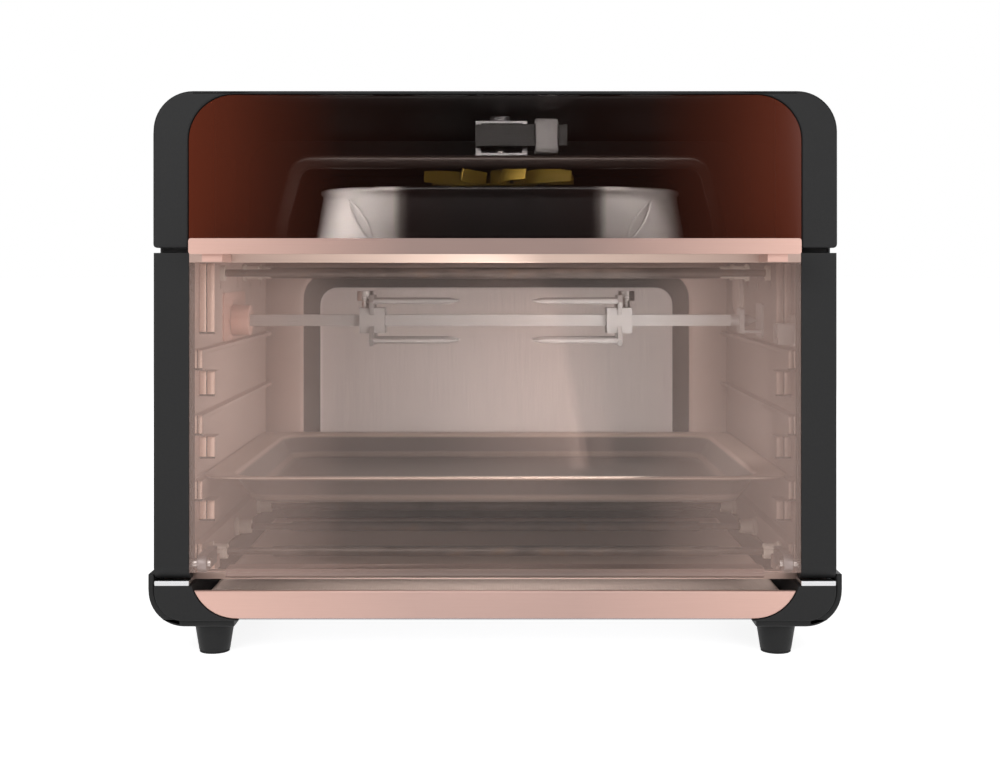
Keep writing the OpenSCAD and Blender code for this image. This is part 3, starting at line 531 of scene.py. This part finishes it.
MATERIALS = {
    "smoked_glass": smoked_glass(),
    "door_glass": door_glass(),
    "liner_shade": liner_shade(),
    "back_steel": back_steel(),
    "dome_steel": dome_steel(),
    "motor_steel": laminated(),
    "heater_sheath": heat_darkened("heater_sheath", (0.13, 0.11, 0.10), 0.42, 0.8),
    "tray_steel": tray_steel(),
    "circuit_board": circuit_board(),
    "insulation": insulation(),
}
for maker, looks in ((coated, COATED), (brushed, BRUSHED), (rose_metal, ROSE)):
    for name, values in looks.items():
        MATERIALS[name] = maker(name, *values)
for name, values in PANES.items():
    MATERIALS[name] = pane(name, *values).material

# Nodes that differ from the rest of their slot.
OWN_MATERIAL = {
    "door_inner_glass": "inner_glass",
    "door_handle": "handle_rose",
    # rail_rose is bright in its middle as painted light; on the front frame it lifts the shadowed sill
    # under the door.
    "door_top_rail": "rail_rose",
    "door_bottom_rail": "frame_rose",
    "front_frame": "rail_rose",
    "liner_right_wall": "liner_shade",
    "spit_rod": "spit_steel",
    "spit_forks": "spit_steel",
    "spit_brackets": "spit_steel",
}


def dress_frame():
    """Gives every CAD node the material of its slot, or its own."""
    for part in frame["record"]["subparts"]:
        name = part["node"]
        material = MATERIALS[OWN_MATERIAL.get(name, part["material_slot"])]
        for slot in frame["nodes"][name].material_slots:
            slot.link = "OBJECT"
            slot.material = material


# Width in millimetres of the rounded edges on each CAD node that stays in view.
EDGE_MM = {
    "front_bezel": 1.6, "base_rails": 1.6, "corner_legs": 1.2, "trim_strips": 0.6, "feet": 1.2,
    "foot_pads": 0.4, "rear_spacers": 1.0, "cord_gland": 0.8, "door_stiles": 1.8,
    "door_top_rail": 0.6, "door_bottom_rail": 0.4, "liner_left_wall": 0.8, "liner_right_wall": 0.8,
    "hinge_brackets": 0.5, "gearmotor": 0.8, "drive_plate": 0.4, "drive_socket": 0.8,
    "spit_rod": 0.5, "spit_forks": 0.5, "spit_brackets": 0.4, "temperature_probe": 0.5,
    "lamp_holder": 0.8, "lamp_lens": 0.9, "motor_bracket": 0.4, "motor_end_frames": 0.4,
    "motor_stator": 0.5, "motor_coil": 1.2, "fan_guard": 0.3, "power_board": 0.3,
    "control_board": 0.3, "display_module": 0.5, "thermal_cutout": 0.4, "door_handle": 1.2,
    "heater_insulators": 0.5, "door_outer_glass": 0.5, "door_inner_glass": 0.5, "door_seal": 0.4,
}
SHARP = math.radians(40)  # an edge that turns by more than this is rounded


def round_edges(made, width, segments=3):
    """Rounds the sharp edges of a piece or node, as a modifier."""
    bevel = made.modifiers.new("edge", "BEVEL")
    bevel.width = width
    bevel.segments = segments
    bevel.limit_method = "ANGLE"
    bevel.angle_limit = SHARP
    bevel.harden_normals = True


def soften_edges():
    """Rounds the CAD nodes' edges, as modifiers over their unchanged meshes."""
    for name, width in EDGE_MM.items():
        node = frame["nodes"][name]
        weld = node.modifiers.new("weld", "WELD")
        weld.merge_threshold = 0.01 * MM
        round_edges(node, width * MM)


# ---- Mesh helpers ----


def piece(name, verts, faces, body, slot, material=None, replaces=()):
    """A smooth-shaded mesh that rides on a CAD body."""
    mesh = bpy.data.meshes.new(name)
    mesh.from_pydata(verts, [], faces)
    mesh.validate()
    mesh.materials.append(MATERIALS[material or slot])
    mesh.shade_smooth()
    made = bpy.data.objects.new(name, mesh)
    bpy.context.collection.objects.link(made)
    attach(made, body)
    if replaces:
        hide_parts(*replaces)
    return made


def thicken(made, thickness, offset=-1.0):
    """Gives a skin the thickness of its sheet, as a modifier."""
    wall = made.modifiers.new("wall", "SOLIDIFY")
    wall.thickness = thickness
    wall.offset = offset


def rounded_ring(x0, x1, y0, y1, r, steps=8):
    """Points anticlockwise round a rectangle with rounded corners."""
    corners = ((x1 - r, y1 - r), (x0 + r, y1 - r), (x0 + r, y0 + r), (x1 - r, y0 + r))
    points = []
    for quarter, (cx, cy) in enumerate(corners):
        for k in range(steps + 1):
            a = (quarter + k / steps) * math.pi / 2
            points.append((cx + r * math.cos(a), cy + r * math.sin(a)))
    return points


def loft(rings, cap_start=False, cap_end=False, closed=True):
    """Vertices and faces of a skin over rings that all have the same number of points."""
    n = len(rings[0])
    verts = [p for ring in rings for p in ring]
    faces = []
    for i in range(len(rings) - 1):
        for j in range(n if closed else n - 1):
            k = (j + 1) % n
            faces.append((i * n + j, i * n + k, (i + 1) * n + k, (i + 1) * n + j))
    if cap_start:
        faces.append(tuple(reversed(range(n))))
    if cap_end:
        faces.append(last_ring(rings))
    return verts, faces


def last_ring(rings):
    """The face that closes the end of a skin over rings."""
    n = len(rings[0])
    start = (len(rings) - 1) * n
    return tuple(range(start, start + n))


def join_parts(parts):
    """Several (verts, faces) pairs as one."""
    verts, faces = [], []
    for part_verts, part_faces in parts:
        start = len(verts)
        verts += part_verts
        faces += [tuple(start + i for i in face) for face in part_faces]
    return verts, faces


def turned(profile, centre, axis, steps=32):
    """Closed skin turned from (radius, along) pairs about an axis through centre."""
    rings = []
    for r, along in profile:
        ring = []
        for k in range(steps):
            a = 2 * math.pi * k / steps
            u, v = r * math.cos(a), r * math.sin(a)
            spot = {"X": (along, u, v), "Y": (v, along, u), "Z": (u, v, along)}[axis]
            ring.append(tuple(c + s for c, s in zip(centre, spot)))
        rings.append(ring)
    return loft(rings, cap_start=True, cap_end=True)


# ---- Pressed sheets ----


def make_tray():
    """Baking tray: tapered pressing with a chamfered foot, a broad rim and a rolled edge."""
    low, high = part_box("baking_tray")
    foot_z, rim_z = low[2], high[2]
    sheet = 0.9 * MM
    cy = (low[1] + high[1]) / 2
    foot_x = 0.160
    foot_y = (high[1] - low[1]) / 2 - 0.0195

    def wall(out, z, r):
        """Ring at a distance outside the foot of the wall."""
        x, y = foot_x + out, foot_y + out
        return [(px, py, z) for px, py in rounded_ring(-x, x, cy - y, cy + y, r)]

    def flange(inset, z, r):
        """Ring at a distance inside the edge of the rim."""
        x0, x1 = low[0] + inset, high[0] - inset
        return [(px, py, z) for px, py in rounded_ring(x0, x1, low[1] + inset, high[1] - inset, r)]

    outside = [
        wall(-0.0040, foot_z, 0.016),
        wall(-0.0008, foot_z + 0.0006, 0.018),
        wall(0.0022, foot_z + 0.0048, 0.020),
        wall(0.0032, foot_z + 0.0062, 0.020),
        wall(0.0100, rim_z - 0.0026, 0.022),
        wall(0.0108, rim_z - 0.0016, 0.022),
        wall(0.0118, rim_z - 0.0012, 0.022),
    ]
    edge = [
        flange(0.0022, rim_z - 0.0012, 0.020),
        flange(0.0006, rim_z - 0.0014, 0.021),
        flange(0.0, rim_z - 0.0006, 0.021),
        flange(0.0006, rim_z, 0.021),
        flange(0.0022, rim_z - 0.0001, 0.020),
        flange(0.0032, rim_z - 0.0004, 0.019),
    ]
    inside = [
        wall(0.0112, rim_z - 0.0004, 0.021),
        wall(0.0100, rim_z - 0.0009, 0.021),
        wall(0.0092, rim_z - 0.0022, 0.0215),
        wall(0.0024, foot_z + 0.0066, 0.0195),
        wall(0.0014, foot_z + 0.0052, 0.0195),
        wall(-0.0012, foot_z + 0.0006 + sheet, 0.0175),
        wall(-0.0040, foot_z + sheet, 0.0155),
    ]
    verts, faces = loft(outside + edge + inside, cap_start=True, cap_end=True)
    piece("baking_tray_pressing", verts, faces, "baking_tray", "tray_steel", replaces=["baking_tray"])


def make_back_wall():
    """Rear wall of the cavity: sheet with one large recess whose sides slope."""
    low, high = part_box("liner_back_wall")
    sheet = 0.6 * MM
    front, deep = low[1], high[1] - sheet
    recess_x, recess_low, recess_high = 0.161, 0.052, 0.240
    slope = 0.016
    steps = 10

    def recess(inset, y, r):
        """Ring at a distance inside the mouth of the recess."""
        x, z0, z1 = recess_x - inset, recess_low + inset, recess_high - inset
        return [(px, y, pz) for px, pz in rounded_ring(-x, x, z0, z1, r, steps)]

    border = rounded_ring(low[0], high[0], low[2], high[2], 0.0005, steps)
    rings = [[(px, front, pz) for px, pz in border]]
    rings += [
        recess(-0.0016, front, 0.024),
        recess(-0.0004, front + 0.0003, 0.0235),
        recess(0.0006, front + 0.0010, 0.0225),
        recess(slope - 0.0020, deep - 0.0012, 0.015),
        recess(slope - 0.0008, deep - 0.0003, 0.0142),
        recess(slope + 0.0010, deep, 0.013),
        recess(slope + 0.0200, deep, 0.010),
    ]
    verts, faces = loft(rings, cap_end=True)
    replaced = ["liner_back_wall"]
    made = piece("back_wall_pressing", verts, faces, "housing", "liner_steel", "back_steel", replaced)
    thicken(made, sheet, 1.0)


DOME_CORNER = 0.066  # radius of the dome's upright corners, seen from above


def make_dome():
    """Dome over the convection fan: pressed steel with round corners, a rim and a shallow crown."""
    low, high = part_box("air_dome")
    foot, top = low[2], high[2]
    lean = 0.007

    def ring(inset, z, r):
        tuck = inset * 0.6
        outline = rounded_ring(low[0] + inset, high[0] - inset, low[1] + tuck, high[1] - tuck, r, 12)
        return [(px, py, z) for px, py in outline]

    rings = [
        ring(0.0, foot + 0.0006, 0.068),
        ring(0.0006, foot + 0.0060, 0.068),
        ring(lean, top - 0.0085, 0.062),
        ring(lean + 0.0004, top - 0.0040, 0.062),
        ring(lean - 0.0012, top - 0.0034, 0.063),
        ring(lean - 0.0012, top - 0.0012, 0.063),
        ring(lean + 0.0006, top - 0.0002, 0.062),
        ring(lean + 0.0040, top, 0.060),
        ring(lean + 0.0140, top - 0.0001, 0.052),
    ]
    verts, faces = loft(rings, cap_end=True)
    made = piece("dome_pressing", verts, faces, "housing", "dome_steel", replaces=["air_dome"])
    thicken(made, 0.9 * MM)


def make_dome_louvres():
    """Leaf-shaped louvres pressed out of the dome's front, one each side."""
    low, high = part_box("air_dome")
    cx = (low[0] + high[0]) / 2
    flat = (high[0] - low[0]) / 2 - DOME_CORNER
    height = high[2] - low[2]
    start_x, drift, bulge = 0.100, 0.017, 0.0038
    start_z, length = high[2] - 0.008, 0.030
    lean = 0.0042
    steps = 12
    for side, word in ((-1, "left"), (1, "right")):
        parts = []
        for bow in (-bulge, bulge):
            rings = []
            for k in range(steps + 1):
                t = k / steps
                arc = math.sin(math.pi * t)
                x = cx + side * (start_x - drift * t + bow * arc)
                z = start_z - length * t
                proud = 0.0005 + 0.0007 * arc
                past_flat = max(0.0, abs(x - cx) - flat)
                corner = DOME_CORNER - math.sqrt(DOME_CORNER**2 - past_flat**2)
                y = low[1] + lean * (z - low[2]) / height + corner
                back = [(x - proud, y, z), (x - proud, y - proud, z)]
                rings.append(back + [(x + proud, y - proud, z), (x + proud, y, z)])
            parts.append(loft(rings, cap_start=True, cap_end=True))
        verts, faces = join_parts(parts)
        piece("dome_louvre_" + word, verts, faces, "housing", "dome_steel")


def make_hood():
    """Duct hood: arch drawn back from a broad rolled lip round its open front."""
    low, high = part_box("air_hood")
    cx = (low[0] + high[0]) / 2
    half, rise = (high[0] - low[0]) / 2, high[2] - low[2]
    front, back = low[1], high[1]
    lean = 0.0103
    steps = 12

    def arch(inset, y, r):
        """Open ring over the hood, from its right foot to its left foot."""
        foot_x, top_x, top = half - inset, half - lean - inset, high[2] - inset
        right = [(cx + foot_x, y, low[2]), (cx + foot_x - lean * 0.4, y, low[2] + rise * 0.4)]
        for k in range(steps + 1):
            a = math.pi / 2 * k / steps
            right.append((cx + top_x - r + r * math.cos(a), y, top - r + r * math.sin(a)))
        return right + [(2 * cx - px, py, pz) for px, py, pz in reversed(right)]

    rings = [
        arch(0.0078, front + 0.0030, 0.010),
        arch(0.0078, front + 0.0012, 0.010),
        arch(0.0070, front + 0.0002, 0.011),
        arch(0.0058, front, 0.012),
        arch(0.0024, front, 0.0145),
        arch(0.0010, front + 0.0004, 0.0155),
        arch(0.0, front + 0.0016, 0.016),
        arch(0.0, front + 0.0050, 0.016),
        arch(0.0008, front + 0.0066, 0.0155),
        arch(0.0010, back - 0.0040, 0.0155),
        arch(0.0022, back - 0.0014, 0.0145),
        arch(0.0045, back - 0.0004, 0.012),
    ]
    verts, faces = loft(rings, closed=False, cap_end=True)
    made = piece("hood_pressing", verts, faces, "housing", "hood_steel", replaces=["air_hood"])
    thicken(made, 0.9 * MM, 0.0)


def make_crumb_tray():
    """Crumb tray: rose front panel with round lower corners, and a steel trough behind it."""
    low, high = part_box("crumb_tray")
    front, foot, top = low[1], low[2], high[2]
    corner_r = 0.028
    steps = 12
    # The panel is cut off level part way up its corners, so its box is short of the full width.
    corner_x = high[0] - math.sqrt(corner_r**2 - (foot + corner_r - top) ** 2)

    def outline(inset, y, z_top):
        """Open ring from the upper right, round both lower corners, to the upper left."""
        radius, centre_z = corner_r - inset, foot + corner_r
        start = math.asin((z_top - centre_z) / radius)
        right = []
        for k in range(steps + 1):
            a = start + (-math.pi / 2 - start) * k / steps
            right.append((corner_x + radius * math.cos(a), y, centre_z + radius * math.sin(a)))
        return right + [(-px, y, pz) for px, _, pz in reversed(right)]

    rounding = ((0.0, 0.0010), (0.0002, 0.0003), (0.0006, 0.0), (0.0030, 0.0))
    rings = [outline(inset, front + back, top - inset) for back, inset in rounding]
    verts, faces = loft(rings, cap_start=True, cap_end=True)
    piece("crumb_tray_front", verts, faces, "crumb_tray", "rose_metal", replaces=["crumb_tray"])

    trough = [outline(0.0009, y, top - 0.006) for y in (front + 0.003, high[1])]
    verts, faces = loft(trough, closed=False, cap_end=True)
    made = piece("crumb_tray_trough", verts, faces, "crumb_tray", "rose_metal", "trough_steel")
    thicken(made, 0.8 * MM, 0.0)


# Heights of the tops of the four shelf ledges, and the foot and height of each guide rib.
LEDGE_TOPS = (0.1895, 0.1485, 0.1073, 0.0678)
GUIDES = ((0.199, 0.045), (0.159, 0.016), (0.119, 0.014), (0.079, 0.013), (0.046, 0.009))


def make_lugs():
    """Pressed faces of the rack lugs: two upright facets with a groove between them, in lit and shaded
    copies of the steel, with painted shade in the groove and under each lug.
    """
    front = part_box("liner_left_wall")[0][1]
    wall_x = -0.190
    ledge_out, ledge_h = 0.006, 0.0125
    guide_out, guide_y = 0.010, front + 0.020
    proud, lip, sunk = 0.0009, 0.0014, 0.0003
    lugs = [(ledge_out, front, top - ledge_h, top) for top in LEDGE_TOPS]
    lugs += [(guide_out, guide_y, low, low + height) for low, height in GUIDES]
    # Across a lug: its sunk edges, its two facets, and the groove in its middle.
    columns = (0.0, 0.06, 0.46, 0.50, 0.54, 0.94, 1.0)
    groove = (2, 3)
    sides = len(columns)
    faces_a_lug = 3 * sides + 2
    bottom_cap = 3 * sides
    # Painted light and shade: the left-hand lugs get a bright copy of the steel, the right-hand ones a
    # dark copy.
    for side, word, material in ((1, "left", "lug_steel"), (-1, "right", "lug_shade")):
        parts = []
        for width, y, low, high in lugs:
            rings = []
            for z, out in ((low, 0.0), (low + lip, proud), (high - lip, proud), (high, 0.0)):
                depths = (sunk, -out, -out, -out * 0.1, -out, -out, sunk)
                rings.append([(side * (wall_x + width * t), y + dy, z) for t, dy in zip(columns, depths)])
            parts.append(loft(rings, cap_start=True, cap_end=True))
        verts, faces = join_parts(parts)
        made = piece("rack_lugs_" + word, verts, faces, "housing", "liner_steel", material)
        # Painted shade: the groove and the face under each lug take a dark material.
        made.data.materials.append(MATERIALS["lug_groove"])
        for face in made.data.polygons:
            at = face.index % faces_a_lug
            in_groove = at < bottom_cap and at % sides in groove
            under = at < sides or at == bottom_cap
            if in_groove or under:
                face.material_index = 1


# ---- Turned and turning parts ----


def fan_blade(centre, turn, inner, outer, foot_z, tip_z):
    """One curved blade from the inner to the outer radius, with a sloping tip."""
    sheet, bend, lean = 0.0005, 0.30, 0.0012
    steps = 8
    rings = []
    for k in range(steps + 1):
        t = k / steps
        r = inner + (outer - inner) * t
        a = turn + bend * t * t
        along = (math.cos(a), math.sin(a))
        across = (-math.sin(a), math.cos(a))
        tip = tip_z - 0.0022 * (1 - t) ** 2 - 0.0064 * max(0.0, t - 0.75)
        foot = foot_z + 0.0022 * max(0.0, t - 0.4)
        ring = []
        for z, push in ((foot, -sheet), (tip, lean - sheet), (tip, lean + sheet), (foot, sheet)):
            x, y = (c + r * u + push * v for c, u, v in zip(centre, along, across))
            ring.append((x, y, z))
        rings.append(ring)
    return loft(rings, cap_start=True, cap_end=True)


def make_fan(name, node, slot, blade_from, blade_to, blades):
    """Sheet fan: flat plate with a hub collar and curved blades bent up from it."""
    low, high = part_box(node)
    cx, cy = (low[0] + high[0]) / 2, (low[1] + high[1]) / 2
    base, top = low[2], high[2]
    shaft_r, collar_r, neck_r = 0.003, 0.0068, 0.006
    plate_r, plate_t = blade_from * 1.35, 0.001
    collar = base + (top - base) * 0.9
    hub = ((shaft_r, base), (collar_r, base), (collar_r, collar), (neck_r, top), (shaft_r, top))
    plate = (
        (collar_r, base),
        (plate_r - plate_t, base),
        (plate_r, base + plate_t / 2),
        (plate_r - plate_t, base + plate_t),
        (collar_r, base + plate_t),
    )
    parts = [turned(hub, (cx, cy, 0), "Z"), turned(plate, (cx, cy, 0), "Z", 64)]
    for i in range(blades):
        turn = 2 * math.pi * i / blades
        parts.append(fan_blade((cx, cy), turn, blade_from, blade_to, base + 0.8 * plate_t, top))
    verts, faces = join_parts(parts)
    made = piece(name, verts, faces, "fan_rotor", slot, replaces=[node])
    round_edges(made, 0.2 * MM, 2)


SCREW_STEPS = 24


def screw(place, axis, r, head):
    """Pan-head screw: a domed head with a round socket in its middle."""
    dome = ((r, 0.0), (r, head * 0.35), (r * 0.86, head * 0.75), (r * 0.6, head * 0.97))
    socket = ((r * 0.42, head), (r * 0.40, head * 0.45))
    return turned(dome + socket, place, axis, SCREW_STEPS)


def make_hood_screws():
    """Screws of the hood, each on its washer."""
    low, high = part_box("hood_screws")
    washer_r, washer_t, head_r = 0.0045, 0.0012, 0.003
    washer = ((washer_r, 0.0), (washer_r, 0.0008), (0.0040, washer_t))
    parts = []
    for x in (low[0] + washer_r, high[0] - washer_r):
        for y in (low[1] + washer_r, high[1] - washer_r):
            parts.append(turned(washer, (x, y, low[2]), "Z", SCREW_STEPS))
            parts.append(screw((x, y, low[2] + washer_t), "Z", head_r, head_r))
    verts, faces = join_parts(parts)
    piece("hood_screw_heads", verts, faces, "housing", "plain_steel", replaces=["hood_screws"])


CASE_SCREW_HEIGHTS = (0.110, 0.180, 0.250, 0.330)


def make_case_screws():
    """Screws down both sides of the rear panel."""
    low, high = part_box("case_screws")
    head_r = 0.0044
    parts = []
    for x in (low[0] + head_r, high[0] - head_r):
        for z in CASE_SCREW_HEIGHTS:
            parts.append(screw((x, low[1], z), "Y", head_r, high[1] - low[1]))
    verts, faces = join_parts(parts)
    piece("case_screw_heads", verts, faces, "housing", "zinc_steel", replaces=["case_screws"])


def make_bulb():
    """Glass capsule of the oven lamp: a round tip, a straight wall and a wider base."""
    low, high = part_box("lamp_bulb")
    length = high[0] - low[0]
    tip = ((0.0006, 0.0), (0.0024, 0.0006), (0.0038, 0.0022), (0.0044, 0.0042))
    base = ((0.0044, length - 0.0040), (0.0056, length - 0.0030), (0.0058, length))
    _, cy, cz = middle("lamp_bulb")
    verts, faces = turned(tip + base, (low[0], cy, cz), "X", 24)
    piece("lamp_capsule", verts, faces, "housing", "bulb", replaces=["lamp_bulb"])


def make_floor():
    """Pale floor that glows a little, so that it stays white as far as it goes."""
    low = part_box("foot_pads")[0][2]
    bpy.ops.mesh.primitive_plane_add(size=80, location=(0, 0, low))
    floor = bpy.context.object
    floor.name = "floor"
    grey = (FLOOR_GREY, FLOOR_GREY, FLOOR_GREY)
    look = Shader("floor_paint", grey, 0.85, Specular_IOR_Level=0.0)
    look.vary(grey, 0.01, 3.0)
    look.set("Emission Color", (1, 1, 1, 1))
    look.set("Emission Strength", FLOOR_GLOW)
    floor.data.materials.append(look.material)


make_camera()
make_studio_lights()
make_cavity_lights()
make_fan_bay_lights()
make_floor()
dress_frame()
soften_edges()
make_tray()
make_back_wall()
make_dome()
make_dome_louvres()
make_hood()
make_fan("cooling_fan_wheel", "cooling_fan", "fan_brass", 0.014, 0.0545, 8)
make_fan("convection_fan_wheel", "convection_fan", "plain_steel", 0.018, 0.0515, 12)
make_hood_screws()
make_case_screws()
make_crumb_tray()
make_bulb()
make_lugs()
